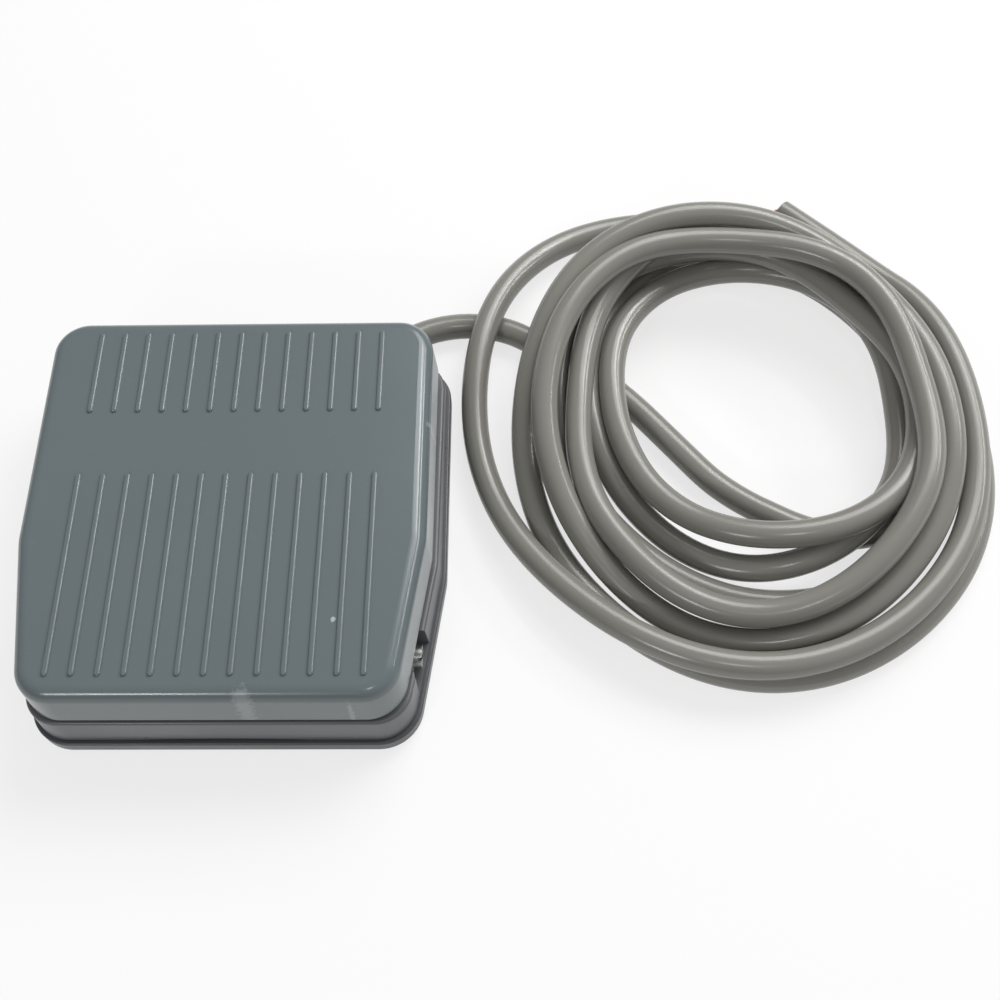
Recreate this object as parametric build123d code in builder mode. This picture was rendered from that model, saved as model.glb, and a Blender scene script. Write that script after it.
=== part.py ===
from build123d import *
from math import cos, pi, radians, sin, tan
import os

# Foot switch: a wedge-shaped base, a rocking pedal cover over it, a sprung return,
# a snap-action switch inside, and a round cord that leaves at the back and lies in a coil.
# Frame: millimetres, X to the right, Y to the back (toe end), Z up, origin on the floor
# under the middle of the base.

# Base, seen from above
base_width = 104.4
base_front_width = 92.0
base_depth = 106.5
base_corner = 10.5
least_corner = 1.2
kink_from_front = 43.0
kink_round = 14.0
ledge_round = 0.6
under_edge = 1.2

# Heights
foot_stand = 1.0
tray_height = 5.0
floor_wall = 2.2
housing_step = 1.1
housing_draft = 3.5
housing_under_edge = 0.4
shoulder_round = 0.8
shoulder_front = 16.6
shoulder_back = 11.0
lip_top = 21.0
lip_inset = 6.2
moulded_wall = 2.0
tray_rim_wall = 2.6

# Pedal cover
pedal_height = 31.0
pedal_overhang_gap = 2.7
pedal_front_gap = 2.3
pedal_back_gap = 0.5
pedal_front_flare = 0.3
skirt_height = 13.0
skirt_draft = 4.0
pedal_wall = 2.3
pedal_corner = 9.5
pedal_edge_round = 3.4
press_angle = 3.6

# Ribs on the pedal
quarter_turn = 90
rib_pitch = 6.0
rib_count = 13
rib_width = 1.5
rib_height = 0.6
rib_round = 0.5
front_ribs_length = 51.8
front_ribs_from_edge = 6.0
ribs_gap = 17.2
back_ribs_length = 23.8

# Pivot
pivot_from_front = 20.25
pivot_z = 11.0
pivot_radius = 2.0
pivot_head_radius = 2.7
pivot_head_thick = 2.0
pocket_depth = 2.6
pocket_back = 5.0
pocket_front = 4.2
pocket_slant = 4.2
pocket_low = 7.3
pocket_block = 2.5
running_gap = 0.05
bush_wall = 1.0
ear_thick = 3.0
ear_lip_gap = 1.3
ear_radius = 4.4
pivot_screw_tip = 1.2
drive_slot_width = 0.8
drive_slot_depth = 0.9
drive_slot_turn = 35

# Feet and cover screws
foot_radius = 5.0
foot_recess = 0.8
foot_edge = 0.4
foot_from_side = 10.2
foot_from_end = 11.25
screw_radius = 1.45
screw_head_radius = 2.9
screw_head_thick = 1.8
screw_pad_radius = 4.6
screw_pad_height = 1.8
screw_bite = 8.0
head_room = 0.3
seat_gap = 0.05
cut_past = 1.0
drive_slot_length = 3.8
boss_radius = 3.8
boss_height = 9.5
boss_from_front_side = 22.0
boss_from_back = 25.25
boss_wall_sink = 0.4

# Snap-action switch
switch_x = 4.0
switch_length = 27.8
switch_width = 10.3
switch_height = 15.9
switch_front_from_lip = 59.45
switch_lift = 0.3
switch_cover_thick = 2.0
switch_edge = 0.8
switch_hole_inset = 2.8
switch_hole_rise = 4.4
plunger_radius = 1.5
plunger_gap = 0.1
plunger_from_hinge = 8.0
plunger_depth = 4.5
plunger_round = 0.7
plunger_pocket_extra = 1.6
lever_width = 4.2
lever_thick = 0.4
lever_length = 22.5
lever_barrel_radius = 1.0
lever_pin_radius = 0.5
lever_gap = 0.3
lever_hinge_inset = 1.9
lever_rise = 1.35
lever_tilt = 7.4
lug_width = 0.95
lug_gap = 0.1
lug_radius = 1.1
pin_gap = 0.02
terminal_width = 4.8
terminal_thick = 0.8
terminal_reach = 6.3
terminal_count = 3
terminal_pitch = 4.2
terminal_lowest = 2.6
switch_wall_thick = 2.6
switch_wall_gap = 0.05
switch_wall_height = 13.5
switch_screw_radius = 1.5
switch_screw_head_radius = 2.75
switch_screw_head_thick = 2.0
switch_nut_flats = 5.5
switch_nut_thick = 2.4
switch_screw_past_nut = 1.0

# Pedal nib, return spring and stops
nib_radius = 2.6
nib_gap = 0.3
nib_before_lever_end = 1.8
spring_x = -10.0
spring_from_lip = 9.95
spring_outer_radius = 6.5
spring_wire_radius = 0.6
spring_turns = 6
spring_seat_gap = 0.1
spring_top_gap = 0.3
spring_post_gap = 0.5
spring_post_height = 4.0
stop_from_lip = 4.9
stop_y = 12.0
stop_radius = 4.0
stop_height = 6.0
stop_gap = 0.3
stop_post_radius = 3.0
stop_round = 0.6

# Rest hooks at the toe end
hook_x = 22.0
hook_wide = 6.0
hook_thick = 2.0
hook_from_wall = 3.6
hook_toe = 2.3
hook_toe_height = 2.0
hook_bottom = 11.6
ledge_deep = 2.9
ledge_thick = 2.0
ledge_gap = 0.3
ledge_side = 1.0
ledge_sink = 0.5
post_sink = 0.6

# Slots of the joint line at the front
front_gap_length = 49.0
front_gap_height = 1.3
side_gap_length = 10.4
side_gap_height = 0.45
side_gap_x = -33.8

# Cord
cord_radius = 3.5
cord_from_side = 22.7
cord_z = 6.0
cord_before_clamp = 4.0
cord_clear = 0.05
bend_share = 0.45
grommet_wall = 0.7
grommet_flange = 0.6
grommet_length = 3.5
grommet_lip_out = 0.1
grommet_skew = 1.6
grommet_width = 11.0
clamp_from_lip = 8.95
clamp_length = 5.0
clamp_half_width = 9.2
clamp_thick = 3.6
clamp_corner = 2.2
clamp_post_radius = 2.3
clamp_post_height = 4.3
clamp_screw_radius = 1.2
clamp_screw_head_radius = 2.2
clamp_screw_head_thick = 1.5
clamp_screw_bite = 3.4
wire_radius = 1.0
wire_bend = 2.6
wire_spread = 2.3
wire_lift = 1.4
wire_first_turn = 3.4
wire_names = ["wire_brown", "wire_blue", "wire_black"]

# Coil of cord, quarter ellipses round one centre
coil_from_cord = 102.0
coil_from_back = -14.75
coil_outer_left = 76.3
coil_outer_right = 63.5
coil_outer_back = 64.0
coil_outer_front = 78.0
coil_inner_left = 32.5
coil_inner_right = 36.0
coil_inner_back = 43.3
coil_inner_front = 27.5
coil_height = 17.5
coil_round = 3.0

# Levels and faces that follow from the sizes above
tray_bottom = foot_stand
floor_top = tray_bottom + floor_wall
tray_top = tray_bottom + tray_height
base_front = -base_depth / 2
base_back = base_depth / 2
lip_void_inset = housing_step + lip_inset + moulded_wall
lip_back_face = base_back - lip_void_inset
lip_front_face = base_front + lip_void_inset
kink_y = base_front + kink_from_front
pivot_y = base_front + pivot_from_front
spring_y = lip_back_face - spring_from_lip
clamp_y = lip_back_face - clamp_from_lip
boss_back_y = base_back - boss_from_back
boss_front_x = base_front_width / 2 - boss_from_front_side
skirt_bottom = pedal_height - skirt_height
pedal_under = pedal_height - pedal_wall
shoulder_slope = (shoulder_front - shoulder_back) / (base_depth - 2 * housing_step)
switch_front_y = lip_back_face - switch_front_from_lip
switch_bottom = floor_top + switch_lift
switch_top = switch_bottom + switch_height
switch_back_y = switch_front_y + switch_length
hinge_y = switch_front_y + lever_hinge_inset
hinge_z = switch_top + lever_rise
plunger_y = hinge_y + plunger_from_hinge
lever_run = cos(radians(lever_tilt))
lever_climb = sin(radians(lever_tilt))
lever_under_rise = plunger_from_hinge * lever_climb / lever_run
plunger_top = hinge_z + lever_under_rise - lever_gap
nib_y = hinge_y + lever_length - nib_before_lever_end
nib_rise = (nib_y + nib_radius - hinge_y) * lever_climb / lever_run
nib_bottom = hinge_z + nib_rise + lever_thick + nib_gap
press_sine = sin(radians(press_angle))
stop_drop = (stop_y + stop_radius - pivot_y) * press_sine
stop_post_bottom = floor_top + stop_height + stop_gap + stop_drop
boss_front_y = lip_front_face + boss_radius - boss_wall_sink
screw_seat = tray_bottom + floor_wall
pad_top = floor_top + screw_pad_height
hook_back_face = lip_back_face - hook_from_wall
ledge_bottom = hook_bottom + hook_toe_height + ledge_gap
ledge_y = lip_back_face + (ledge_sink - ledge_deep) / 2

cord_x = base_width / 2 - cord_from_side
cord_start_y = clamp_y - cord_before_clamp
coil_x = cord_x + coil_from_cord
coil_y = base_back + coil_from_back
front_ribs_y = base_front + pedal_front_gap + front_ribs_from_edge + front_ribs_length / 2
back_ribs_y = front_ribs_y + (front_ribs_length + back_ribs_length) / 2 + ribs_gap
bush_radius = pivot_radius + running_gap + bush_wall
pedal_top_sink = pedal_under + post_sink
switch_low_x = switch_x - switch_width / 2
case_low_x = switch_low_x + switch_cover_thick
lug_middle = lever_width / 2 + lug_gap + lug_width / 2
terminal_base = switch_bottom + terminal_lowest
terminal_levels = [terminal_base + terminal_pitch * place for place in range(terminal_count)]
spring_coil_radius = spring_outer_radius - spring_wire_radius
spring_post_radius = spring_outer_radius - 2 * spring_wire_radius - spring_post_gap
spring_low = floor_top + spring_wire_radius + spring_seat_gap
spring_pitch = (pedal_under - spring_top_gap - spring_wire_radius - spring_low) / spring_turns

# Route of the cord from the clamp to the coil, and of its cut end
lead_points = [
    (cord_x, cord_start_y, cord_z),
    (cord_x, base_back - 3.3, cord_z),
    (cord_x + 8.5, base_back + 10.1, 4.6),
    (cord_x + 22.0, base_back + 16.3, cord_radius),
    (cord_x + 36.5, base_back + 14.9, cord_radius),
]
end_points = [
    (coil_x + 29.5, coil_y + 55.5, cord_radius),
    (coil_x + 15.8, coil_y + 68.1, cord_radius),
]

os.makedirs("parts", exist_ok=True)


def half_width(y, inset):
    """Half the base's width at a distance y, inset from the outer edge."""
    taper = (base_width - base_front_width) / 2 / kink_from_front
    return base_width / 2 - inset - max(0, kink_y - y) * taper


def plan_face(level, half_back, half_front, front, back, corner):
    """The switch's outline from above: straight sides that taper from a kink to the front."""
    with BuildSketch(Plane.XY.offset(level)) as face:
        with BuildLine():
            Polyline(
                (half_back, back),
                (-half_back, back),
                (-half_back, kink_y),
                (-half_front, front),
                (half_front, front),
                (half_back, kink_y),
                close=True,
            )
        make_face()
        rows = face.vertices().group_by(Axis.Y)
        fillet(rows[1], kink_round)
        rows = face.vertices().group_by(Axis.Y)
        fillet(rows[0] + rows[-1], corner)
    return face.sketch


def base_face(level, inset):
    """The base's outline, inset evenly."""
    corner = max(base_corner - inset, least_corner)
    front_half = half_width(base_front + inset, inset)
    back_half = base_width / 2 - inset
    return plan_face(level, back_half, front_half, base_front + inset, base_back - inset, corner)


def pedal_face(level, inset):
    """The pedal's outline, inset evenly from the skirt's lower edge."""
    corner = max(pedal_corner - inset, least_corner)
    back_half = base_width / 2 - pedal_overhang_gap - inset
    front_half = base_front_width / 2 - pedal_overhang_gap + pedal_front_flare - inset
    front = base_front + pedal_front_gap + inset
    back = base_back - pedal_back_gap - inset
    return plan_face(level, back_half, front_half, front, back, corner)


def coil_face(left, right, back, front):
    """A ring outline of four quarter ellipses round the coil's centre."""
    with BuildSketch() as face:
        with BuildLine():
            for place, reach in enumerate([(right, back), (left, back), (left, front), (right, front)]):
                start = place * quarter_turn
                EllipticalCenterArc((coil_x, coil_y), *reach, start_angle=start, arc_size=quarter_turn)
        make_face()
    return face.sketch


def finish(piece, label):
    """Name a finished piece and write its file."""
    piece.part.label = label
    export_step(piece.part, "parts/" + label + ".step")


def bend_radii(points):
    """The largest tangent arc at each corner of a route that its straight runs allow."""
    corners = [Vector(*point) for point in points]
    radii = []
    for before, here, after in zip(corners, corners[1:], corners[2:]):
        run_in = here - before
        run_out = after - here
        turn = radians(run_in.get_angle(run_out))
        radii.append(bend_share * min(run_in.length, run_out.length) / tan(turn / 2))
    return radii


sides = (-1, 1)
foot_spots = []
for foot_y in (base_front + foot_from_end, base_back - foot_from_end):
    foot_spots += [(side * half_width(foot_y, foot_from_side), foot_y) for side in sides]
pocket_floor = half_width(pivot_y, housing_step + pocket_depth)
ear_outer_face = half_width(pivot_y, lip_void_inset + ear_lip_gap)
stop_x = half_width(stop_y, lip_void_inset + stop_from_lip)
pocket_back_y = pivot_y + pocket_back
pocket_turn_y = pivot_y - pocket_front
pocket_front_y = pocket_turn_y - pocket_slant
pocket_rim = half_width(pocket_front_y, housing_step)
boss_back_x = half_width(boss_back_y, lip_void_inset) - boss_radius + boss_wall_sink
boss_spots = [(side * boss_front_x, boss_front_y) for side in sides]
boss_spots += [(side * boss_back_x, boss_back_y) for side in sides]
clamp_reach = clamp_half_width - clamp_post_radius
clamp_spots = [(cord_x - clamp_reach, clamp_y), (cord_x + clamp_reach, clamp_y)]
clamp_post_top = floor_top + clamp_post_height
clamp_top = clamp_post_top + clamp_thick
wall_face_x = switch_x + switch_width / 2 + switch_wall_gap
nut_face_x = wall_face_x + switch_wall_thick
nut_outer_x = nut_face_x + switch_nut_thick
switch_hole_spots = [
    (switch_front_y + switch_hole_inset, switch_bottom + switch_hole_rise),
    (switch_back_y - switch_hole_inset, switch_bottom + switch_hole_rise),
]
lead_radii = bend_radii(lead_points)
print("cord bends, mm:", [round(radius, 1) for radius in lead_radii])

with BuildLine() as lead_line:
    FilletPolyline(*lead_points, radius=lead_radii)

# The space that the cord takes up, with its clearance, for the pieces that it passes through
with BuildPart() as cord_room:
    with BuildSketch(Plane(origin=lead_points[0], z_dir=(0, 1, 0))):
        Circle(cord_radius + cord_clear)
    sweep(path=lead_line.line)

exit_x = cord_x + grommet_skew
stem_height = 2 * (cord_radius + grommet_wall)


def exit_face(depth, grow):
    """The obround outline of the cord's exit, at a depth in from the back edge."""
    with BuildSketch(Plane.XZ.offset(depth - base_back)) as face:
        with Locations((exit_x, cord_z)):
            SlotOverall(grommet_width + 2 * grow, stem_height + 2 * grow)
    return face.sketch


# Bottom tray: floor, rim, screw pads, switch wall, clamp posts and spring post in one moulding
with BuildPart() as bottom_tray:
    extrude(base_face(tray_bottom, 0), amount=tray_height)
    fillet(bottom_tray.edges().group_by(Axis.Z)[-1], ledge_round)
    chamfer(bottom_tray.edges().group_by(Axis.Z)[0], under_edge)
    extrude(base_face(floor_top, tray_rim_wall), amount=tray_height, mode=Mode.SUBTRACT)
    with BuildSketch(Plane.XY.offset(floor_top)):
        with Locations(*boss_spots):
            Circle(screw_pad_radius)
    extrude(amount=screw_pad_height)
    with BuildSketch(Plane.XY.offset(tray_bottom)):
        with Locations(*foot_spots):
            Circle(foot_radius + seat_gap)
    extrude(amount=foot_recess, mode=Mode.SUBTRACT)
    with BuildSketch(Plane.XY.offset(tray_bottom)):
        with Locations(*boss_spots):
            Circle(screw_head_radius + head_room)
    extrude(amount=screw_seat - tray_bottom, mode=Mode.SUBTRACT)
    with BuildSketch(Plane.XY.offset(tray_bottom)):
        with Locations(*boss_spots):
            Circle(screw_radius + seat_gap)
    extrude(amount=pad_top, mode=Mode.SUBTRACT)
    with BuildSketch(Plane.XY.offset(floor_top)):
        with Locations(*clamp_spots):
            Circle(clamp_post_radius)
    extrude(amount=clamp_post_height)
    with BuildSketch(Plane.XY.offset(clamp_post_top)):
        with Locations(*clamp_spots):
            Circle(clamp_screw_radius + seat_gap)
    extrude(amount=-clamp_screw_bite - head_room, mode=Mode.SUBTRACT)
    with BuildSketch(Plane.XY.offset(floor_top)):
        with Locations((spring_x, spring_y)):
            Circle(spring_post_radius)
    extrude(amount=spring_post_height)
    with BuildSketch(Plane.YZ.offset(wall_face_x)):
        with Locations(((switch_front_y + switch_back_y) / 2, floor_top + switch_wall_height / 2)):
            Rectangle(switch_length, switch_wall_height)
        with Locations(*switch_hole_spots):
            Circle(switch_screw_radius + seat_gap, mode=Mode.SUBTRACT)
    extrude(amount=switch_wall_thick)
    extrude(exit_face(0, seat_gap), amount=tray_rim_wall + cut_past, mode=Mode.SUBTRACT)
    extrude(exit_face(0, grommet_flange + seat_gap), amount=housing_step, mode=Mode.SUBTRACT)
    add(cord_room.part, mode=Mode.SUBTRACT)

# What lies above the housing's shoulder, which falls towards the back
with BuildPart() as above_shoulder:
    with BuildSketch(Plane.YZ.offset(-base_width)):
        with BuildLine():
            Polyline(
                (base_front, shoulder_front + housing_step * shoulder_slope),
                (base_back, shoulder_back - housing_step * shoulder_slope),
                (base_back, pedal_height),
                (base_front, pedal_height),
                close=True,
            )
        make_face()
    extrude(amount=2 * base_width)

# The hollow under the shoulder, which leaves a solid block round each pivot pocket
with BuildPart() as housing_hollow:
    extrude(base_face(tray_top, housing_step + moulded_wall), amount=shoulder_front - tray_top)
    add(above_shoulder.part.moved(Location((0, 0, -moulded_wall))), mode=Mode.SUBTRACT)
    with BuildSketch(Plane.XY.offset(tray_top)):
        with Locations((0, (pocket_back_y + pocket_front_y) / 2)):
            Rectangle(2 * base_width, pocket_back_y - pocket_front_y + 2 * pocket_block)
    extrude(amount=shoulder_front, mode=Mode.SUBTRACT)

# Housing: outer wall with a sloping shoulder, and an upright lip inside the pedal's skirt
with BuildPart() as housing:
    extrude(base_face(tray_top, housing_step), amount=pedal_height - shoulder_front, taper=housing_draft)
    add(above_shoulder.part, mode=Mode.SUBTRACT)
    chamfer(housing.edges().group_by(Axis.Z)[0], housing_under_edge)
    shoulder_edges = housing.faces().sort_by(Axis.Z)[-1].edges()
    fillet(shoulder_edges, shoulder_round)
    add(housing_hollow.part, mode=Mode.SUBTRACT)
    extrude(base_face(tray_top, housing_step + lip_inset), amount=lip_top - tray_top)
    extrude(base_face(tray_top, lip_void_inset), amount=lip_top, mode=Mode.SUBTRACT)
    with BuildSketch(Plane.XY.offset(pad_top)):
        with Locations(*boss_spots):
            Circle(boss_radius)
    extrude(amount=boss_height)
    with BuildSketch(Plane.XY.offset(pad_top)):
        with Locations(*boss_spots):
            Circle(screw_radius + seat_gap)
    extrude(amount=screw_bite + head_room, mode=Mode.SUBTRACT)
    with BuildSketch(Plane.XY.offset(ledge_bottom)):
        with Locations(*[(side * hook_x, ledge_y) for side in sides]):
            Rectangle(hook_wide + 2 * ledge_side, ledge_deep + ledge_sink)
    extrude(amount=ledge_thick)
    for side in sides:
        with BuildSketch(Plane.XY.offset(pocket_low)):
            with BuildLine():
                Polyline(
                    (side * base_width, pocket_back_y),
                    (side * pocket_floor, pocket_back_y),
                    (side * pocket_floor, pocket_turn_y),
                    (side * pocket_rim, pocket_front_y),
                    (side * base_width, pocket_front_y),
                    close=True,
                )
            make_face()
        extrude(amount=pedal_height - pocket_low, mode=Mode.SUBTRACT)
        with BuildSketch(Plane.YZ.offset(side * ear_outer_face)):
            with Locations((pivot_y, pivot_z)):
                Circle(pivot_radius + seat_gap)
        extrude(amount=side * (pocket_floor - ear_outer_face + cut_past), mode=Mode.SUBTRACT)
    extrude(exit_face(0, seat_gap), amount=lip_void_inset + moulded_wall, mode=Mode.SUBTRACT)
    extrude(exit_face(0, grommet_flange + seat_gap), amount=housing_step, mode=Mode.SUBTRACT)
    with BuildSketch(Plane.XZ.offset(-base_front)):
        with BuildLine():
            Line((-front_gap_length / 2, tray_top), (front_gap_length / 2, tray_top))
            ThreePointArc(
                (-front_gap_length / 2, tray_top),
                (0, tray_top + front_gap_height),
                (front_gap_length / 2, tray_top),
            )
        make_face()
        with Locations((side_gap_x, tray_top)):
            Rectangle(side_gap_length, 2 * side_gap_height)
    extrude(amount=-housing_step - moulded_wall, mode=Mode.SUBTRACT)

# Rubber feet, let into the tray's underside
with BuildPart() as rubber_feet:
    with BuildSketch():
        with Locations(*foot_spots):
            Circle(foot_radius)
    extrude(amount=foot_stand + foot_recess)
    chamfer(rubber_feet.edges().group_by(Axis.Z)[0], foot_edge)

# Screws that hold the tray to the housing's bosses, driven from below
with BuildPart() as tray_screws:
    with BuildSketch(Plane.XY.offset(screw_seat)):
        with Locations(*boss_spots):
            Circle(screw_head_radius)
    extrude(amount=-screw_head_thick)
    with BuildSketch(Plane.XY.offset(screw_seat)):
        with Locations(*boss_spots):
            Circle(screw_radius)
    extrude(amount=pad_top - screw_seat + screw_bite)
    with BuildSketch(Plane.XY.offset(screw_seat - screw_head_thick)):
        with Locations(*boss_spots):
            Rectangle(drive_slot_length, drive_slot_width)
            Rectangle(drive_slot_width, drive_slot_length)
    extrude(amount=drive_slot_depth, mode=Mode.SUBTRACT)

# Pedal cover: drafted skirt, rounded edge, two rows of beads, and its posts and hooks inside
with BuildPart() as pedal:
    extrude(pedal_face(skirt_bottom, 0), amount=skirt_height, taper=skirt_draft)
    fillet(pedal.faces().sort_by(Axis.Z)[-1].edges(), pedal_edge_round)
    extrude(
        pedal_face(skirt_bottom, pedal_wall),
        amount=pedal_under - skirt_bottom,
        taper=skirt_draft,
        mode=Mode.SUBTRACT,
    )
    with BuildSketch(Plane.XY.offset(pedal_height - rib_height)):
        with GridLocations(rib_pitch, 0, rib_count, 1):
            with Locations((0, front_ribs_y)):
                SlotOverall(front_ribs_length, rib_width, rotation=quarter_turn)
            with Locations((0, back_ribs_y)):
                SlotOverall(back_ribs_length, rib_width, rotation=quarter_turn)
    extrude(amount=2 * rib_height)
    fillet(pedal.faces().filter_by(Axis.Z).group_by(Axis.Z)[-1].edges(), rib_round)
    for side in sides:
        with BuildSketch(Plane.YZ.offset(side * (ear_outer_face - ear_thick / 2))):
            with Locations((pivot_y, (pivot_z + pedal_top_sink) / 2)):
                Rectangle(2 * ear_radius, pedal_top_sink - pivot_z)
            with Locations((pivot_y, pivot_z)):
                Circle(ear_radius)
                Circle(bush_radius + pin_gap, mode=Mode.SUBTRACT)
        extrude(amount=ear_thick / 2, both=True)
        with BuildSketch(Plane.YZ.offset(side * hook_x)):
            with Locations((hook_back_face - hook_thick / 2, (hook_bottom + pedal_top_sink) / 2)):
                Rectangle(hook_thick, pedal_top_sink - hook_bottom)
            with Locations((hook_back_face + hook_toe / 2, hook_bottom + hook_toe_height / 2)):
                Rectangle(hook_toe, hook_toe_height)
        extrude(amount=hook_wide / 2, both=True)
    with BuildSketch(Plane.XY.offset(pedal_top_sink)):
        with Locations((switch_x, nib_y)):
            Circle(nib_radius)
    extrude(amount=nib_bottom - pedal_top_sink)
    with BuildSketch(Plane.XY.offset(pedal_top_sink)):
        with Locations((spring_x, spring_y)):
            Circle(spring_post_radius)
    extrude(amount=pedal_under - spring_post_height - pedal_top_sink)
    with BuildSketch(Plane.XY.offset(pedal_top_sink)):
        with Locations(*[(side * stop_x, stop_y) for side in sides]):
            Circle(stop_post_radius)
    extrude(amount=stop_post_bottom - pedal_top_sink)

# Shouldered pivot screws, headed into the housing's side pockets
with BuildPart() as pivot_screws:
    for side in sides:
        with BuildSketch(Plane.YZ.offset(side * pocket_floor)):
            with Locations((pivot_y, pivot_z)):
                Circle(pivot_head_radius)
        extrude(amount=side * pivot_head_thick)
        with BuildSketch(Plane.YZ.offset(side * pocket_floor)):
            with Locations((pivot_y, pivot_z)):
                Circle(pivot_radius)
        extrude(amount=-side * (pocket_floor - ear_outer_face + ear_thick + pivot_screw_tip))
        with BuildSketch(Plane.YZ.offset(side * (pocket_floor + pivot_head_thick))):
            with Locations((pivot_y, pivot_z)):
                Rectangle(drive_slot_width, 2 * pivot_head_radius, rotation=drive_slot_turn)
        extrude(amount=-side * drive_slot_depth, mode=Mode.SUBTRACT)

# Nylon bushes in the pedal's ears
with BuildPart() as pivot_bushes:
    for side in sides:
        with BuildSketch(Plane.YZ.offset(side * (ear_outer_face - ear_thick / 2))):
            with Locations((pivot_y, pivot_z)):
                Circle(bush_radius)
                Circle(pivot_radius + running_gap, mode=Mode.SUBTRACT)
        extrude(amount=ear_thick / 2, both=True)

# Snap-action switch: moulded case, side cover, plunger, lever with its pin, and terminals
with BuildPart() as switch_case:
    with BuildSketch(Plane.YZ.offset(case_low_x)):
        with Locations(((switch_front_y + switch_back_y) / 2, (switch_bottom + switch_top) / 2)):
            RectangleRounded(switch_length, switch_height, switch_edge)
        with Locations(*switch_hole_spots):
            Circle(switch_screw_radius + seat_gap, mode=Mode.SUBTRACT)
    extrude(amount=switch_width - switch_cover_thick)
    for side in sides:
        with BuildSketch(Plane.YZ.offset(switch_x + side * lug_middle)):
            with Locations((hinge_y, (switch_top + hinge_z) / 2)):
                Rectangle(2 * lug_radius, hinge_z - switch_top)
            with Locations((hinge_y, hinge_z)):
                Circle(lug_radius)
                Circle(lever_pin_radius + pin_gap, mode=Mode.SUBTRACT)
        extrude(amount=lug_width / 2, both=True)
    with BuildSketch(Plane.XY.offset(switch_top)):
        with Locations((switch_x, plunger_y)):
            Circle(plunger_radius + plunger_gap)
    extrude(amount=-plunger_depth - plunger_pocket_extra, mode=Mode.SUBTRACT)

with BuildPart() as switch_cover:
    with BuildSketch(Plane.YZ.offset(switch_low_x)):
        with Locations(((switch_front_y + switch_back_y) / 2, (switch_bottom + switch_top) / 2)):
            RectangleRounded(switch_length, switch_height, switch_edge)
        with Locations(*switch_hole_spots):
            Circle(switch_screw_radius + seat_gap, mode=Mode.SUBTRACT)
    extrude(amount=switch_cover_thick)

with BuildPart() as switch_plunger:
    with BuildSketch(Plane.XY.offset(switch_top - plunger_depth)):
        with Locations((switch_x, plunger_y)):
            Circle(plunger_radius)
    extrude(amount=plunger_top - switch_top + plunger_depth)
    fillet(switch_plunger.edges().group_by(Axis.Z)[-1], plunger_round)

with BuildPart() as switch_lever:
    with BuildSketch(Plane.YZ.offset(switch_x)):
        with Locations((hinge_y, hinge_z)):
            Circle(lever_barrel_radius)
        with BuildLine():
            Polyline(
                (hinge_y, hinge_z),
                (hinge_y + lever_length * lever_run, hinge_z + lever_length * lever_climb),
                (
                    hinge_y + lever_length * lever_run - lever_thick * lever_climb,
                    hinge_z + lever_length * lever_climb + lever_thick * lever_run,
                ),
                (hinge_y - lever_thick * lever_climb, hinge_z + lever_thick * lever_run),
                close=True,
            )
        make_face()
        with Locations((hinge_y, hinge_z)):
            Circle(lever_pin_radius + running_gap, mode=Mode.SUBTRACT)
    extrude(amount=lever_width / 2, both=True)

with BuildPart() as lever_pin:
    with BuildSketch(Plane.YZ.offset(switch_x)):
        with Locations((hinge_y, hinge_z)):
            Circle(lever_pin_radius)
    extrude(amount=lug_middle + lug_width / 2, both=True)

with BuildPart() as switch_terminals:
    with BuildSketch(Plane.XZ.offset(-switch_back_y)):
        with Locations(*[(switch_x, level) for level in terminal_levels]):
            Rectangle(terminal_width, terminal_thick)
    extrude(amount=-terminal_reach)

# Screws and nuts that clamp the switch to the tray's upright wall
with BuildPart() as switch_screws:
    with BuildSketch(Plane.YZ.offset(switch_low_x)):
        with Locations(*switch_hole_spots):
            Circle(switch_screw_head_radius)
    extrude(amount=-switch_screw_head_thick)
    with BuildSketch(Plane.YZ.offset(switch_low_x)):
        with Locations(*switch_hole_spots):
            Circle(switch_screw_radius)
    extrude(amount=nut_outer_x + switch_screw_past_nut - switch_low_x)

with BuildPart() as switch_nuts:
    with BuildSketch(Plane.YZ.offset(nut_face_x)):
        with Locations(*switch_hole_spots):
            RegularPolygon(switch_nut_flats / 2, 6, major_radius=False)
            Circle(switch_screw_radius + seat_gap, mode=Mode.SUBTRACT)
    extrude(amount=switch_nut_thick)

# Return spring between the tray's post and the pedal's
with BuildPart() as return_spring:
    with BuildLine(Plane(origin=(spring_x, spring_y, spring_low))):
        coil_line = Helix(spring_pitch, spring_pitch * spring_turns, spring_coil_radius)
    with BuildSketch(Plane(origin=coil_line @ 0, z_dir=coil_line % 0)):
        Circle(spring_wire_radius)
    sweep(is_frenet=True)

# Rubber buffers that end the pedal's travel
with BuildPart() as stop_pads:
    with BuildSketch(Plane.XY.offset(floor_top)):
        with Locations(*[(side * stop_x, stop_y) for side in sides]):
            Circle(stop_radius)
    extrude(amount=stop_height)
    fillet(stop_pads.edges().group_by(Axis.Z)[-1], stop_round)

# Cord grommet, clamp and clamp screws
with BuildPart() as cord_grommet:
    extrude(exit_face(grommet_lip_out, 0), amount=grommet_length)
    extrude(exit_face(grommet_lip_out, grommet_flange), amount=housing_step - grommet_lip_out)
    add(cord_room.part, mode=Mode.SUBTRACT)

with BuildPart() as cord_clamp:
    with BuildSketch(Plane.XY.offset(clamp_post_top)):
        with Locations((cord_x, clamp_y)):
            RectangleRounded(2 * clamp_half_width, clamp_length, clamp_corner)
        with Locations(*clamp_spots):
            Circle(clamp_screw_radius + seat_gap, mode=Mode.SUBTRACT)
    extrude(amount=clamp_thick)
    add(cord_room.part, mode=Mode.SUBTRACT)

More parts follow.
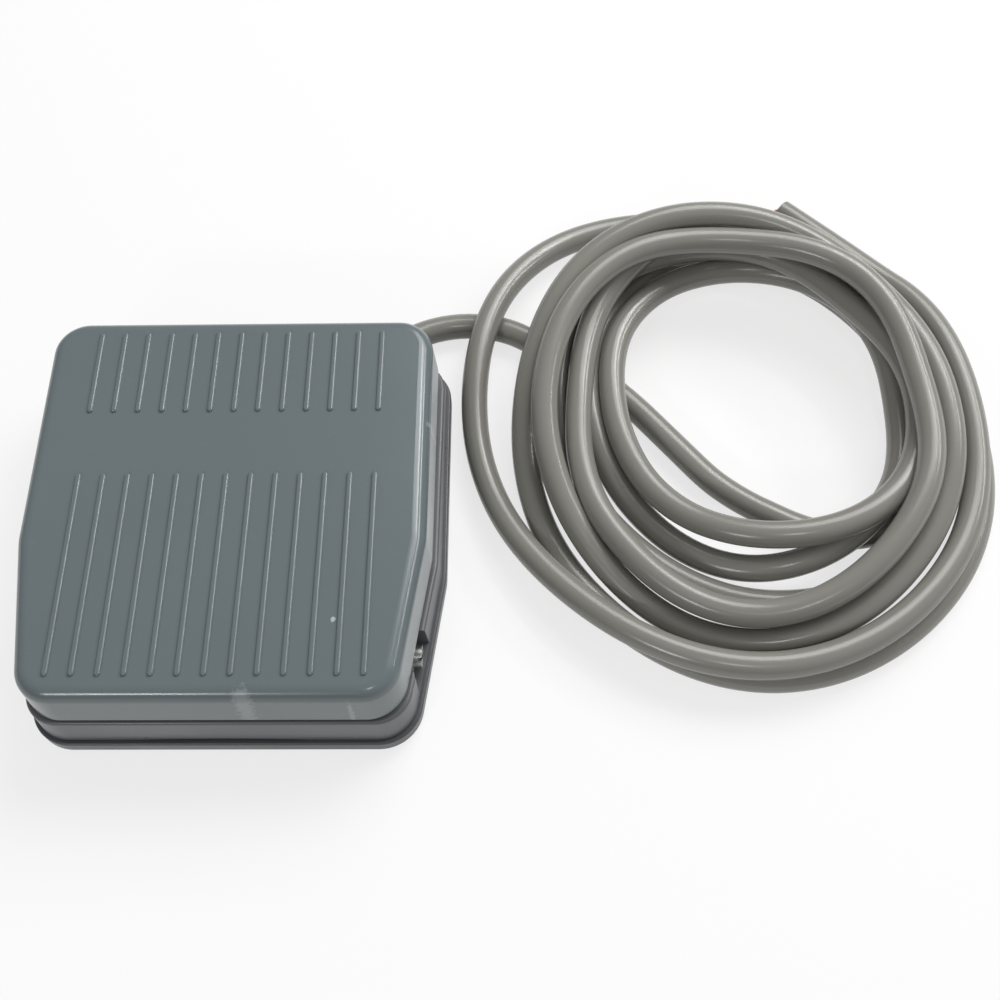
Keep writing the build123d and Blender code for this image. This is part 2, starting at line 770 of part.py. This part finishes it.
with BuildPart() as clamp_screws:
    with BuildSketch(Plane.XY.offset(clamp_top)):
        with Locations(*clamp_spots):
            Circle(clamp_screw_head_radius)
    extrude(amount=clamp_screw_head_thick)
    with BuildSketch(Plane.XY.offset(clamp_top)):
        with Locations(*clamp_spots):
            Circle(clamp_screw_radius)
    extrude(amount=-clamp_thick - clamp_screw_bite)

# Coil of cord: the outer shape of the heap of turns
with BuildPart() as cord_coil:
    extrude(coil_face(coil_outer_left, coil_outer_right, coil_outer_back, coil_outer_front), amount=coil_height)
    fillet(cord_coil.edges().group_by(Axis.Z)[-1], coil_round)
    extrude(
        coil_face(coil_inner_left, coil_inner_right, coil_inner_back, coil_inner_front),
        amount=coil_height,
        mode=Mode.SUBTRACT,
    )

# Cord from the clamp to the coil, and its cut end
with BuildPart() as cord_lead:
    with BuildSketch(Plane(origin=lead_points[0], z_dir=(0, 1, 0))):
        Circle(cord_radius)
    sweep(path=lead_line.line)
    lead_length = sum(edge.length for edge in lead_line.edges())
    print("cord length by path, by volume:", lead_length, cord_lead.part.volume / (pi * cord_radius**2))

with BuildLine() as end_line:
    Line(*end_points)

with BuildPart() as cord_end:
    with BuildSketch(Plane(origin=end_points[0], z_dir=end_line.line % 0)):
        Circle(cord_radius)
    sweep(path=end_line.line)

finish(bottom_tray, "bottom_tray")
finish(housing, "housing")
finish(rubber_feet, "rubber_feet")
finish(tray_screws, "tray_screws")
finish(pedal, "pedal")
finish(pivot_screws, "pivot_screws")
finish(pivot_bushes, "pivot_bushes")
finish(switch_case, "switch_case")
finish(switch_cover, "switch_cover")
finish(switch_plunger, "switch_plunger")
finish(switch_lever, "switch_lever")
finish(lever_pin, "lever_pin")
finish(switch_terminals, "switch_terminals")
finish(switch_screws, "switch_screws")
finish(switch_nuts, "switch_nuts")
finish(return_spring, "return_spring")
finish(stop_pads, "stop_pads")
finish(cord_grommet, "cord_grommet")
finish(cord_clamp, "cord_clamp")
finish(clamp_screws, "clamp_screws")
finish(cord_coil, "cord_coil")
finish(cord_lead, "cord_lead")
finish(cord_end, "cord_end")

# Wires from the cord's stripped end to the terminals
for place, (name, level) in enumerate(zip(wire_names, terminal_levels)):
    start_x = cord_x + (place - 1) * wire_spread
    start_z = cord_z + wire_lift * (place % 2)
    turn_y = cord_start_y - wire_first_turn - (place * wire_spread)
    with BuildLine() as wire_line:
        FilletPolyline(
            (start_x, cord_start_y, start_z),
            (start_x, turn_y, start_z),
            (switch_x, turn_y, level),
            (switch_x, switch_back_y + terminal_reach, level),
            radius=wire_bend,
        )
    with BuildPart() as wire:
        with BuildSketch(Plane(origin=(start_x, cord_start_y, start_z), z_dir=(0, -1, 0))):
            Circle(wire_radius)
        sweep(path=wire_line.line)
    finish(wire, name)
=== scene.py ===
import math

import bmesh
import bpy
import numpy as np
from mathutils import Matrix, Vector


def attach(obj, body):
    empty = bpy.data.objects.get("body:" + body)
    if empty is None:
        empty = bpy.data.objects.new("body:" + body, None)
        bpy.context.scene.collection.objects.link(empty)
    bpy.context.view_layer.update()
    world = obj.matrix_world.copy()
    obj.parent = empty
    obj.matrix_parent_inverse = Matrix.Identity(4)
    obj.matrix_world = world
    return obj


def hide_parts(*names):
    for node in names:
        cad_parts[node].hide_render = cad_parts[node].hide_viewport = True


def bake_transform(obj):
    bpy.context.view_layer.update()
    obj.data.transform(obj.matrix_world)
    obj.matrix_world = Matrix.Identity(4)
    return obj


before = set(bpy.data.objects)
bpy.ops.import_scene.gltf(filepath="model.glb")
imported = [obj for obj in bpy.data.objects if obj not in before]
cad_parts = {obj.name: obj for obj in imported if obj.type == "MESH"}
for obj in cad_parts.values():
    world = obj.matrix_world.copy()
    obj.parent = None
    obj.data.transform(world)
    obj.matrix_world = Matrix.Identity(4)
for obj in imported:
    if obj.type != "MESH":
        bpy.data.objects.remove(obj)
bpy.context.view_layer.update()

# Pedal cover
# One injection moulding in blue-grey ABS. The tool's cavity is spark eroded, so the face has a
# fine even grain that scatters light; shoes have left faint scuffs and grime on its flats, and a
# small highlight between the beads is painted on as a pale spot.
pedal_grey = "#6D787B"
pedal_rubbed = "#8A9294"
pedal_grime = "#636B6C"
pedal_grain = 0.35
pedal_cloud = 40.0
pedal_bump = 0.02
abs_ior = 1.54
abs_roughness = 0.18
# The sizes of the grain, clouds, rub marks and torn edges are in mm
rub_mark_size = 3.2
torn_edge_size = 1.1
# Pale colour of bare scratches and chips, also used for the painted highlight between the beads
bare_scratch_and_highlight = "#C9CDCE"
pedal_marks_and_highlight = {
    "front edge scuff": {"at": (0.0087, -0.0497), "reach": 0.0020, "strength": 0.28},
    # Painted highlight: a small pale spot between the beads, where the face catches the light
    "painted highlight between the beads": {"at": (0.0283, -0.0314), "reach": 0.0006, "strength": 0.8},
    "chip by the front corner": {"at": (0.0325, -0.0508), "reach": 0.0006, "strength": 0.3},
    "speck on the right edge": {"at": (0.0487, 0.0211), "reach": 0.0007, "strength": 0.4},
}


def linear(hex_colour):
    """An sRGB hex colour as linear red, green, blue and alpha."""
    shades = [int(hex_colour[place : place + 2], 16) / 255 for place in (1, 3, 5)]
    return [s / 12.92 if s <= 0.04045 else ((s + 0.055) / 1.055) ** 2.4 for s in shades] + [1]


def node(tree, kind, settings=None, links=None):
    """Adds a shader node, with its attributes or socket values, and its incoming links."""
    made = tree.nodes.new(kind)
    for name, value in (settings or {}).items():
        if name in made.inputs:
            made.inputs[name].default_value = value
        else:
            setattr(made, name, value)
    for name, source in (links or {}).items():
        tree.links.new(source, made.inputs[name])
    return made


def per_mm(size):
    """A texture scale whose features are about that many millimetres, for metre coordinates."""
    return 1000.0 / size


def moulded_plastic(name, base, rubbed, grime, grain, cloud, roughness, bump=0.05, marks=()):
    """Moulded plastic with a grained face, uneven tone, light rub marks, a little grime and pale
    marks, one of which can be a painted highlight.
    """
    material = bpy.data.materials.new(name)
    material.use_nodes = True
    tree = material.node_tree
    tree.nodes.clear()
    out = node(tree, "ShaderNodeOutputMaterial")
    place = node(tree, "ShaderNodeTexCoord").outputs["Object"]
    # Grime lies in broad clouds
    cloudy = node(
        tree, "ShaderNodeTexNoise",
        {"Scale": per_mm(cloud), "Detail": 4.0, "Roughness": 0.55},
        {"Vector": place},
    )
    toned = node(
        tree, "ShaderNodeMapRange",
        {"From Min": 0.35, "From Max": 0.7, "To Min": 0.0, "To Max": 0.3},
        {"Value": cloudy.outputs["Fac"]},
    )
    dirty = node(
        tree, "ShaderNodeMix",
        {"data_type": "RGBA", "A": linear(base), "B": linear(grime)},
        {"Factor": toned.outputs["Result"]},
    )
    # Small paler spots where it has been rubbed
    speck = node(
        tree, "ShaderNodeTexNoise",
        {"Scale": per_mm(rub_mark_size), "Detail": 6.0, "Roughness": 0.7},
        {"Vector": place},
    )
    worn = node(
        tree, "ShaderNodeMapRange",
        {"From Min": 0.62, "From Max": 0.78, "To Min": 0.0, "To Max": 0.18},
        {"Value": speck.outputs["Fac"]},
    )
    colour = node(
        tree, "ShaderNodeMix",
        {"data_type": "RGBA", "B": linear(rubbed)},
        {"Factor": worn.outputs["Result"], "A": dirty.outputs["Result"]},
    )
    # Each mark is a round pale patch seen from above, with a torn edge; most are wear, and the one
    # between the pedal's beads is a painted highlight.
    frayed = node(
        tree, "ShaderNodeTexNoise",
        {"Scale": per_mm(torn_edge_size), "Detail": 3.0},
        {"Vector": place},
    )
    from_above = node(
        tree, "ShaderNodeVectorMath", {"operation": "MULTIPLY"}, {0: place}
    )
    from_above.inputs[1].default_value = (1, 1, 0)
    for mark in marks:
        away = node(
            tree, "ShaderNodeVectorMath",
            {"operation": "DISTANCE"},
            {0: from_above.outputs["Vector"]},
        )
        away.inputs[1].default_value = (*mark["at"], 0)
        ragged = node(
            tree, "ShaderNodeMath",
            {"operation": "MULTIPLY"},
            {0: away.outputs["Value"], 1: frayed.outputs["Fac"]},
        )
        near = node(
            tree, "ShaderNodeMapRange",
            {
                "From Min": mark["reach"] * 0.3,
                "From Max": mark["reach"] * 0.6,
                "To Min": mark["strength"],
                "To Max": 0.0,
            },
            {"Value": ragged.outputs["Value"]},
        )
        colour = node(
            tree, "ShaderNodeMix",
            {"data_type": "RGBA", "B": linear(bare_scratch_and_highlight)},
            {"Factor": near.outputs["Result"], "A": colour.outputs["Result"]},
        )
    grains = node(
        tree, "ShaderNodeTexNoise",
        {"Scale": per_mm(grain), "Detail": 2.0, "Roughness": 0.6},
        {"Vector": place},
    )
    height = node(
        tree, "ShaderNodeBump",
        {"Strength": bump, "Distance": 0.0002},
        {"Height": grains.outputs["Fac"]},
    )
    shine = node(
        tree, "ShaderNodeMapRange",
        {"From Min": 0.3, "From Max": 0.7, "To Min": roughness - 0.05, "To Max": roughness + 0.07},
        {"Value": cloudy.outputs["Fac"]},
    )
    shader = node(
        tree, "ShaderNodeBsdfPrincipled",
        {"IOR": abs_ior},
        {
            "Base Color": colour.outputs["Result"],
            "Roughness": shine.outputs["Result"],
            "Normal": height.outputs["Normal"],
        },
    )
    tree.links.new(shader.outputs["BSDF"], out.inputs["Surface"])
    return material


def dress(name, material):
    """Gives a CAD node that material."""
    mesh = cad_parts[name].data
    mesh.materials.clear()
    mesh.materials.append(material)


grained_abs = moulded_plastic(
    "grained ABS, blue-grey",
    base=pedal_grey,
    rubbed=pedal_rubbed,
    grime=pedal_grime,
    grain=pedal_grain,
    cloud=pedal_cloud,
    roughness=abs_roughness,
    bump=pedal_bump,
    marks=pedal_marks_and_highlight.values(),
)
dress("pedal", grained_abs)

# Housing
# The ring that carries the pedal, moulded in the same ABS from a slightly browner batch. Its
# walls are drafted and its face is smoother than the pedal's, so its edges catch more light.
satin_abs = moulded_plastic(
    "satin ABS, mid grey",
    base="#5E6063",
    rubbed="#939597",
    grime="#6B6B6C",
    grain=0.4,
    cloud=30.0,
    roughness=0.32,
)
dress("housing", satin_abs)

# Bottom tray and cord clamp
# The lower shell that carries the switch, in reground ABS of a darker grey, with dust along
# its ledge. The clamp that grips the cord is moulded with it.
reground_abs = moulded_plastic(
    "reground ABS, dark grey",
    base="#4A4C4F",
    rubbed="#808183",
    grime="#545456",
    grain=0.4,
    cloud=22.0,
    roughness=0.36,
)
dress("bottom_tray", reground_abs)
dress("cord_clamp", reground_abs)

# Rubber feet, stop pads and cord grommet
# Moulded in black nitrile rubber: dull, with a bloom of pale dust in its grain.
nitrile = moulded_plastic(
    "nitrile rubber, black",
    base="#232323",
    rubbed="#4A4A48",
    grime="#1A1A1A",
    grain=0.6,
    cloud=9.0,
    roughness=0.75,
)
for rubber_node in ("rubber_feet", "stop_pads", "cord_grommet"):
    dress(rubber_node, nitrile)

# Screws, nuts, lever and lever pin
# Zinc plated mild steel with turned heads, and drawn stainless spring wire: fine marks from
# the tool blur the reflections, and the plating is slightly uneven.
plating_patch_size = 1.6


def plated_steel(name, base, dull, roughness, marks):
    """Plated or drawn steel with fine tool marks and uneven plating."""
    material = bpy.data.materials.new(name)
    material.use_nodes = True
    tree = material.node_tree
    tree.nodes.clear()
    out = node(tree, "ShaderNodeOutputMaterial")
    place = node(tree, "ShaderNodeTexCoord").outputs["Object"]
    patchy = node(
        tree, "ShaderNodeTexNoise",
        {"Scale": per_mm(plating_patch_size), "Detail": 3.0},
        {"Vector": place},
    )
    colour = node(
        tree, "ShaderNodeMix",
        {"data_type": "RGBA", "A": linear(base), "B": linear(dull)},
        {"Factor": patchy.outputs["Fac"]},
    )
    lines = node(
        tree, "ShaderNodeTexNoise",
        {"Scale": per_mm(marks), "Detail": 1.0},
        {"Vector": place},
    )
    height = node(
        tree, "ShaderNodeBump",
        {"Strength": 0.15, "Distance": 0.0001},
        {"Height": lines.outputs["Fac"]},
    )
    shine = node(
        tree, "ShaderNodeMapRange",
        {"To Min": roughness - 0.06, "To Max": roughness + 0.1},
        {"Value": patchy.outputs["Fac"]},
    )
    shader = node(
        tree, "ShaderNodeBsdfPrincipled",
        {"Metallic": 1.0},
        {
            "Base Color": colour.outputs["Result"],
            "Roughness": shine.outputs["Result"],
            "Normal": height.outputs["Normal"],
        },
    )
    tree.links.new(shader.outputs["BSDF"], out.inputs["Surface"])
    return material


zinc = plated_steel(
    "zinc plated steel", base="#D6D5D2", dull="#AFAEAA", roughness=0.3, marks=0.2
)
spring_wire = plated_steel(
    "drawn spring steel", base="#B9B9B6", dull="#8E8E8B", roughness=0.34, marks=0.12
)
for screw_node in ("tray_screws", "pivot_screws", "switch_screws", "switch_nuts", "clamp_screws"):
    dress(screw_node, zinc)
for wire_node in ("switch_lever", "lever_pin"):
    dress(wire_node, spring_wire)

# Return spring
# Six open turns of drawn stainless wire between the tray's post and the pedal's.
spring_middle = (-0.01, 0.034)
spring_foot = 0.0033
spring_height = 0.0251
spring_wire_radius = 0.0006
spring_coil_radius = 0.0059
spring_turns = 6
spring_points_a_turn = 24

spring_line = bpy.data.curves.new("return_spring_wire", "CURVE")
spring_line.dimensions = "3D"
spring_line.bevel_depth = spring_wire_radius
spring_line.bevel_resolution = 4
spring_line.resolution_u = 2
spring_line.use_fill_caps = True
spring_path = spring_line.splines.new("NURBS")
spring_steps = spring_turns * spring_points_a_turn
spring_path.points.add(spring_steps)
for step in range(spring_steps + 1):
    angle = 2 * math.pi * step / spring_points_a_turn
    rise = (spring_height - 2 * spring_wire_radius) * step / spring_steps
    spring_path.points[step].co = (
        spring_middle[0] + spring_coil_radius * math.cos(angle),
        spring_middle[1] + spring_coil_radius * math.sin(angle),
        spring_foot + spring_wire_radius + rise,
        1,
    )
spring_path.order_u = 3
spring_path.use_endpoint_u = True
spring_curve = bpy.data.objects.new("return_spring_curve", spring_line)
spring_mesh = bpy.data.meshes.new_from_object(spring_curve)
bpy.data.objects.remove(spring_curve)
spring_mesh.materials.clear()
spring_mesh.materials.append(spring_wire)
spring_mesh.shade_smooth()
spring = bpy.data.objects.new("return_spring_coil", spring_mesh)
bpy.context.collection.objects.link(spring)
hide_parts("return_spring")
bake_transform(spring)

# Switch body, plunger, bushes, terminals and wires
# A glass filled phenolic case with a natural nylon plunger and bushes, stamped brass
# terminals, and PVC insulation on the three wires.
phenolic = moulded_plastic(
    "phenolic, black",
    base="#1E1D1D",
    rubbed="#3A3938",
    grime="#151515",
    grain=0.3,
    cloud=6.0,
    roughness=0.42,
)
dress("switch_case", phenolic)
dress("switch_cover", phenolic)
nylon = moulded_plastic(
    "natural nylon",
    base="#DEDACB",
    rubbed="#E9E6DB",
    grime="#C6C0AC",
    grain=0.5,
    cloud=5.0,
    roughness=0.4,
)
dress("switch_plunger", nylon)
dress("pivot_bushes", nylon)
brass = plated_steel("stamped brass", base="#D9B45B", dull="#B08B3B", roughness=0.32, marks=0.2)
dress("switch_terminals", brass)
insulation_colours = {
    "brown": {"base": "#5A3620", "rubbed": "#76513A", "grime": "#402515"},
    "blue": {"base": "#2250A0", "rubbed": "#4A72B8", "grime": "#183A76"},
    "black": {"base": "#202020", "rubbed": "#444444", "grime": "#161616"},
}
insulation = {}
for wire_colour, shades in insulation_colours.items():
    insulation[wire_colour] = moulded_plastic(
        "PVC insulation, " + wire_colour, **shades, grain=0.5, cloud=8.0, roughness=0.35
    )
    dress("wire_" + wire_colour, insulation[wire_colour])

# Cord
# Three-core flexible cord in a round grey PVC sheath, 7 mm across. It leaves the back of the
# base, goes in under the coil and winds out turn by turn. A turn is eight radii in mm from the
# coil's middle, an eighth of a turn apart, and it lies on the turns lower in the stack.
cord_radius = 0.0035
lead_route = [
    (0.0295, 0.031, 0.006),
    (0.0295, 0.04995, 0.006),
    (0.038, 0.0628, 0.0046),
    (0.0515, 0.0688, 0.0035),
    (0.066, 0.0676, 0.0035),
    (0.0755, 0.0621, 0.0035),
    (0.0835, 0.0573, 0.0035),
    (0.0925, 0.0505, 0.0035),
    (0.101, 0.0422, 0.0035),
    (0.1075, 0.0345, 0.0035),
    (0.1138, 0.0269, 0.0035),
    (0.1205, 0.0188, 0.0035),
    (0.1265, 0.0138, 0.0035),
]
tail_route = [(0.161, 0.0925, 0.0035), (0.1473, 0.1066, 0.0035)]
coil_middle = (0.1315, 0.0385)
turns_mm = [
    (28, 48, 46, 46, 51, 47, 42, 42),
    (47, 44, 39.5, 43, 44.5, 41, 36, 37),
    (41, 45, 42.5, 39.5, 47, 53, 50, 50),
    (55, 57, 52, 49.5, 54, 48.5, 45, 54),
    (61, 52, 41.5, 42, 42, 49.5, 54, 60),
    (66, 58, 48.5, 46, 50, 56, 59, 67),
    (75, 69, 59, 52.5, 63, 75, 73, 72),
    (74, 66, 57, 58),
]
stack_order = (2, 3, 4, 5, 7, 6, 1, 8)
stations_a_turn = 8
points_a_station = 6
first_turn_angle = -90
# A strand that is lifted comes down again in an arch of this radius. Where strands cross, the
# soft sheaths press together to this share of their thickness.
arch_radius = 0.13
snug = 0.945
# The heights are worked out anew until the heap has settled, and smoothed over a few points.
# A strand never rests on its own next few thicknesses.
settle_passes = 14
smoothed_over = 5
clear_of_itself = 4
# More than the cord's length, so that the place in the stack counts before the place along it
above_all_lengths = 100


def coil_route():
    """The coil's points from above, and each one's place in the stack."""
    radii = [radius / 1000 for turn in turns_mm for radius in turn]
    reach = [radii[0]] + radii + [radii[-1], radii[-1]]
    points, order = [], []
    for station in range(len(radii)):
        # A Catmull-Rom curve through the radii on either side
        before, here, after, later = reach[station : station + 4]
        turn, place = divmod(station + 2, stations_a_turn)
        for step in range(points_a_station if station < len(radii) - 1 else 1):
            share = step / points_a_station
            radius = here + share * (after - before) / 2
            radius += share**2 * (2 * before - 5 * here + 4 * after - later) / 2
            radius += share**3 * (3 * here - before - 3 * after + later) / 2
            angle = math.radians(360 * (station + share) / stations_a_turn + first_turn_angle)
            points.append((
                coil_middle[0] + radius * math.cos(angle),
                coil_middle[1] + radius * math.sin(angle),
            ))
            order.append(stack_order[turn])
    return points, order


def laid(flat, order):
    """Heights of a flat route whose stretches lie on those that come lower in the stack."""
    flat = np.array(flat)
    thick = 2 * cord_radius * snug
    steps = np.linalg.norm(np.diff(flat, axis=0), axis=1)
    along = np.concatenate([[0], np.cumsum(steps)])
    start, run = flat[:-1], np.diff(flat, axis=0)
    share = ((flat[:, None] - start[None]) * run[None]).sum(axis=2) / (run**2).sum(axis=1)[None]
    share = share.clip(0, 1)
    nearest = start[None] + share[..., None] * run[None]
    apart = np.linalg.norm(flat[:, None] - nearest, axis=2)
    rank = np.array(order) * above_all_lengths + along
    gap = np.abs(along[:, None] - along[None, :-1])
    below = (apart < thick) & (rank[:, None] > rank[None, :-1]) & (gap > clear_of_itself * thick)
    rise = np.sqrt(np.maximum(thick**2 - apart**2, 0))
    fall = (along[:, None] - along[None]) ** 2 / (2 * arch_radius)
    height = np.full(len(flat), cord_radius)
    for _ in range(settle_passes):
        under = height[:-1][None] * (1 - share) + height[1:][None] * share
        needed = np.where(below, under + rise, cord_radius).max(axis=1)
        carried = (needed[None] - fall).max(axis=1).clip(cord_radius)
        padded = np.pad(carried, smoothed_over // 2, mode="edge")
        height = np.convolve(padded, np.full(smoothed_over, 1 / smoothed_over), "valid")
    return height


turned_points, turned_order = coil_route()
lead_flat = [point[:2] for point in lead_route]
tail_flat = [point[:2] for point in tail_route]
flat_route = lead_flat + turned_points + tail_flat
route_order = [0] * len(lead_route) + turned_order + [stack_order[-1]] * len(tail_route)
route_heights = laid(flat_route, route_order)
cord_line = bpy.data.curves.new("cord", "CURVE")
cord_line.dimensions = "3D"
cord_line.bevel_depth = cord_radius
cord_line.bevel_resolution = 7
cord_line.resolution_u = 6
cord_line.use_fill_caps = True
strand = cord_line.splines.new("NURBS")
strand.points.add(len(flat_route) - 1)
for place, (point, height) in enumerate(zip(flat_route, route_heights)):
    if place < len(lead_route):
        height = max(height, lead_route[place][2])
    strand.points[place].co = (point[0], point[1], height, 1)
strand.order_u = 3
strand.use_endpoint_u = True
cord = bpy.data.objects.new("cord", cord_line)
bpy.context.collection.objects.link(cord)
sheath = moulded_plastic(
    "PVC sheath, warm grey",
    base="#8D8C85",
    rubbed="#9B9A94",
    grime="#7D7B75",
    grain=0.5,
    cloud=60.0,
    roughness=0.22,
)
cord_line.materials.append(sheath)
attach(cord, "base")
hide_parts("cord_lead", "cord_coil", "cord_end")

# Cut end of the cord
# The cord is cut off square: three insulated cores, each round a bundle of copper strands, stand
# a little out of the sheath, pushed apart by the cutter.
core_radius = 0.0011
copper_radius = 0.0006
core_from_axis = 0.00145
core_depth = 0.003
core_sides = 20
first_core_turn = math.radians(20)
core_turn = math.radians(120)
cores_out = {"brown": 0.0007, "blue": 0.0004, "black": 0.0009}
copper_past_core = 0.0006
cord_tip = Vector((*flat_route[-1], route_heights[-1]))
cord_before = Vector((*flat_route[-2], route_heights[-2]))
tip_turn = (cord_tip - cord_before).to_track_quat("Z", "Y").to_matrix().to_4x4()
copper = plated_steel(
    "bare copper strands", base="#C98A5E", dull="#9A6442", roughness=0.35, marks=0.15
)


def cut_core(name, turn, radius, out, material):
    """One core or conductor that stands that far out of the cord's cut face."""
    aside = Matrix.Translation((core_from_axis, 0, (out - core_depth) / 2))
    place = Matrix.Translation(cord_tip) @ tip_turn @ Matrix.Rotation(turn, 4, "Z") @ aside
    shape = bmesh.new()
    bmesh.ops.create_cone(
        shape,
        cap_ends=True,
        segments=core_sides,
        radius1=radius,
        radius2=radius,
        depth=core_depth + out,
        matrix=place,
    )
    mesh = bpy.data.meshes.new(name)
    shape.to_mesh(mesh)
    shape.free()
    mesh.materials.append(material)
    core = bpy.data.objects.new(name, mesh)
    bpy.context.collection.objects.link(core)
    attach(core, "base")
    return core


cut_pieces = []
for place, (colour, out) in enumerate(cores_out.items()):
    turn = first_core_turn + place * core_turn
    copper_out = out + copper_past_core
    cut_pieces += [
        cut_core("cut_core_" + colour, turn, core_radius, out, insulation[colour]),
        cut_core("cut_copper_" + colour, turn, copper_radius, copper_out, copper),
    ]

# Floor
# A pale matt studio floor. What the camera and the gloss of the pieces see of it is lifted to
# white, and it keeps a soft shadow. The light that it throws back up is that of a greyer floor.
floor_size = 3.0
floor_bounce = 0.55
shadow_share = 0.28
floor_mesh = bmesh.new()
bmesh.ops.create_grid(floor_mesh, x_segments=1, y_segments=1, size=floor_size / 2)
floor_data = bpy.data.meshes.new("floor")
floor_mesh.to_mesh(floor_data)
floor_mesh.free()
floor = bpy.data.objects.new("floor", floor_data)
bpy.context.collection.objects.link(floor)
floor_paint = bpy.data.materials.new("matt pale floor")
floor_paint.use_nodes = True
floor_tree = floor_paint.node_tree
floor_tree.nodes.clear()
floor_out = node(floor_tree, "ShaderNodeOutputMaterial")
floor_white = node(floor_tree, "ShaderNodeEmission", {"Color": (1, 1, 1, 1), "Strength": 1.0})
floor_rays = node(floor_tree, "ShaderNodeLightPath")
floor_mirrored = node(
    floor_tree, "ShaderNodeMath",
    {"operation": "MAXIMUM"},
    {0: floor_rays.outputs["Is Glossy Ray"], 1: floor_rays.outputs["Is Transmission Ray"]},
)
floor_seen = node(
    floor_tree, "ShaderNodeMath",
    {"operation": "MAXIMUM"},
    {0: floor_rays.outputs["Is Camera Ray"], 1: floor_mirrored.outputs["Value"]},
)
floor_tone = node(
    floor_tree, "ShaderNodeMix",
    {"data_type": "RGBA", "A": (floor_bounce, floor_bounce, floor_bounce, 1), "B": (1, 1, 1, 1)},
    {"Factor": floor_seen.outputs["Value"]},
)
floor_matt = node(
    floor_tree, "ShaderNodeBsdfDiffuse", links={"Color": floor_tone.outputs["Result"]}
)
floor_share = node(
    floor_tree, "ShaderNodeMath", {"operation": "MULTIPLY"}, {0: floor_seen.outputs["Value"]}
)
floor_share.inputs[1].default_value = 1 - shadow_share
floor_mix = node(
    floor_tree, "ShaderNodeMixShader", links={"Fac": floor_share.outputs["Value"]}
)
floor_tree.links.new(floor_matt.outputs["BSDF"], floor_mix.inputs[1])
floor_tree.links.new(floor_white.outputs["Emission"], floor_mix.inputs[2])
floor_tree.links.new(floor_mix.outputs["Shader"], floor_out.inputs["Surface"])
floor_data.materials.append(floor_paint)

# Light
# A soft lamp above and behind, two long windows at the right, a low strip in front, a small
# lamp over the camera that draws a line along the cord, and an even surround.
surround = 0.28
lit_spot = Vector((0.05, 0.02, 0.0))
lamps = {
    "top lamp": {"at": (0.4, 0.7, 0.9), "wide": 0.7, "deep": 0.7, "power": 7.0},
    "right window": {"at": (0.84, 0.42, 0.55), "wide": 0.5, "deep": 0.1, "power": 2.0},
    "upper window": {"at": (0.56, 0.49, 0.8), "wide": 0.5, "deep": 0.08, "power": 1.6},
    "front strip": {"at": (-0.35, -0.85, 0.62), "wide": 0.25, "deep": 0.1, "power": 1.8},
    "camera lamp": {"at": (0.18, -0.5, 1.05), "wide": 0.1, "deep": 0.1, "power": 0.8},
}
world = bpy.data.worlds.new("studio")
bpy.context.scene.world = world
world.use_nodes = True
background = world.node_tree.nodes["Background"]
background.inputs["Color"].default_value = (1, 1, 1, 1)
background.inputs["Strength"].default_value = surround
for lamp_name, lamp_spec in lamps.items():
    lamp_data = bpy.data.lights.new(lamp_name, "AREA")
    lamp_data.shape = "RECTANGLE"
    lamp_data.size = lamp_spec["wide"]
    lamp_data.size_y = lamp_spec["deep"]
    lamp_data.energy = lamp_spec["power"]
    lamp = bpy.data.objects.new(lamp_name, lamp_data)
    bpy.context.collection.objects.link(lamp)
    lamp.location = lamp_spec["at"]
    lamp.rotation_euler = (lit_spot - lamp.location).to_track_quat("-Z", "Y").to_euler()

# Camera
# It stands above the front edge and looks down steeply towards the back.
camera_at = Vector((0.07351, -0.1432, 0.30584))
camera_yaw = math.radians(-2.926)
camera_down = math.radians(62.62)
camera_roll = math.radians(-2.958)
camera_lens = 46.8
camera_sensor = 36.0
camera_nearest = 0.01
ahead = Vector((
    math.sin(camera_yaw) * math.cos(camera_down),
    math.cos(camera_yaw) * math.cos(camera_down),
    -math.sin(camera_down),
))
level_right = Vector((math.cos(camera_yaw), -math.sin(camera_yaw), 0))
level_up = level_right.cross(ahead)
right = level_right * math.cos(camera_roll) + level_up * math.sin(camera_roll)
up = level_up * math.cos(camera_roll) - level_right * math.sin(camera_roll)
camera_data = bpy.data.cameras.new("camera")
camera_data.sensor_width = camera_sensor
camera_data.lens = camera_lens
camera_data.clip_start = camera_nearest
camera = bpy.data.objects.new("camera", camera_data)
bpy.context.collection.objects.link(camera)
turned = Matrix((right, up, -ahead)).transposed().to_4x4()
camera.matrix_world = Matrix.Translation(camera_at) @ turned
bpy.context.scene.camera = camera
bpy.context.scene.view_settings.view_transform = "Standard"
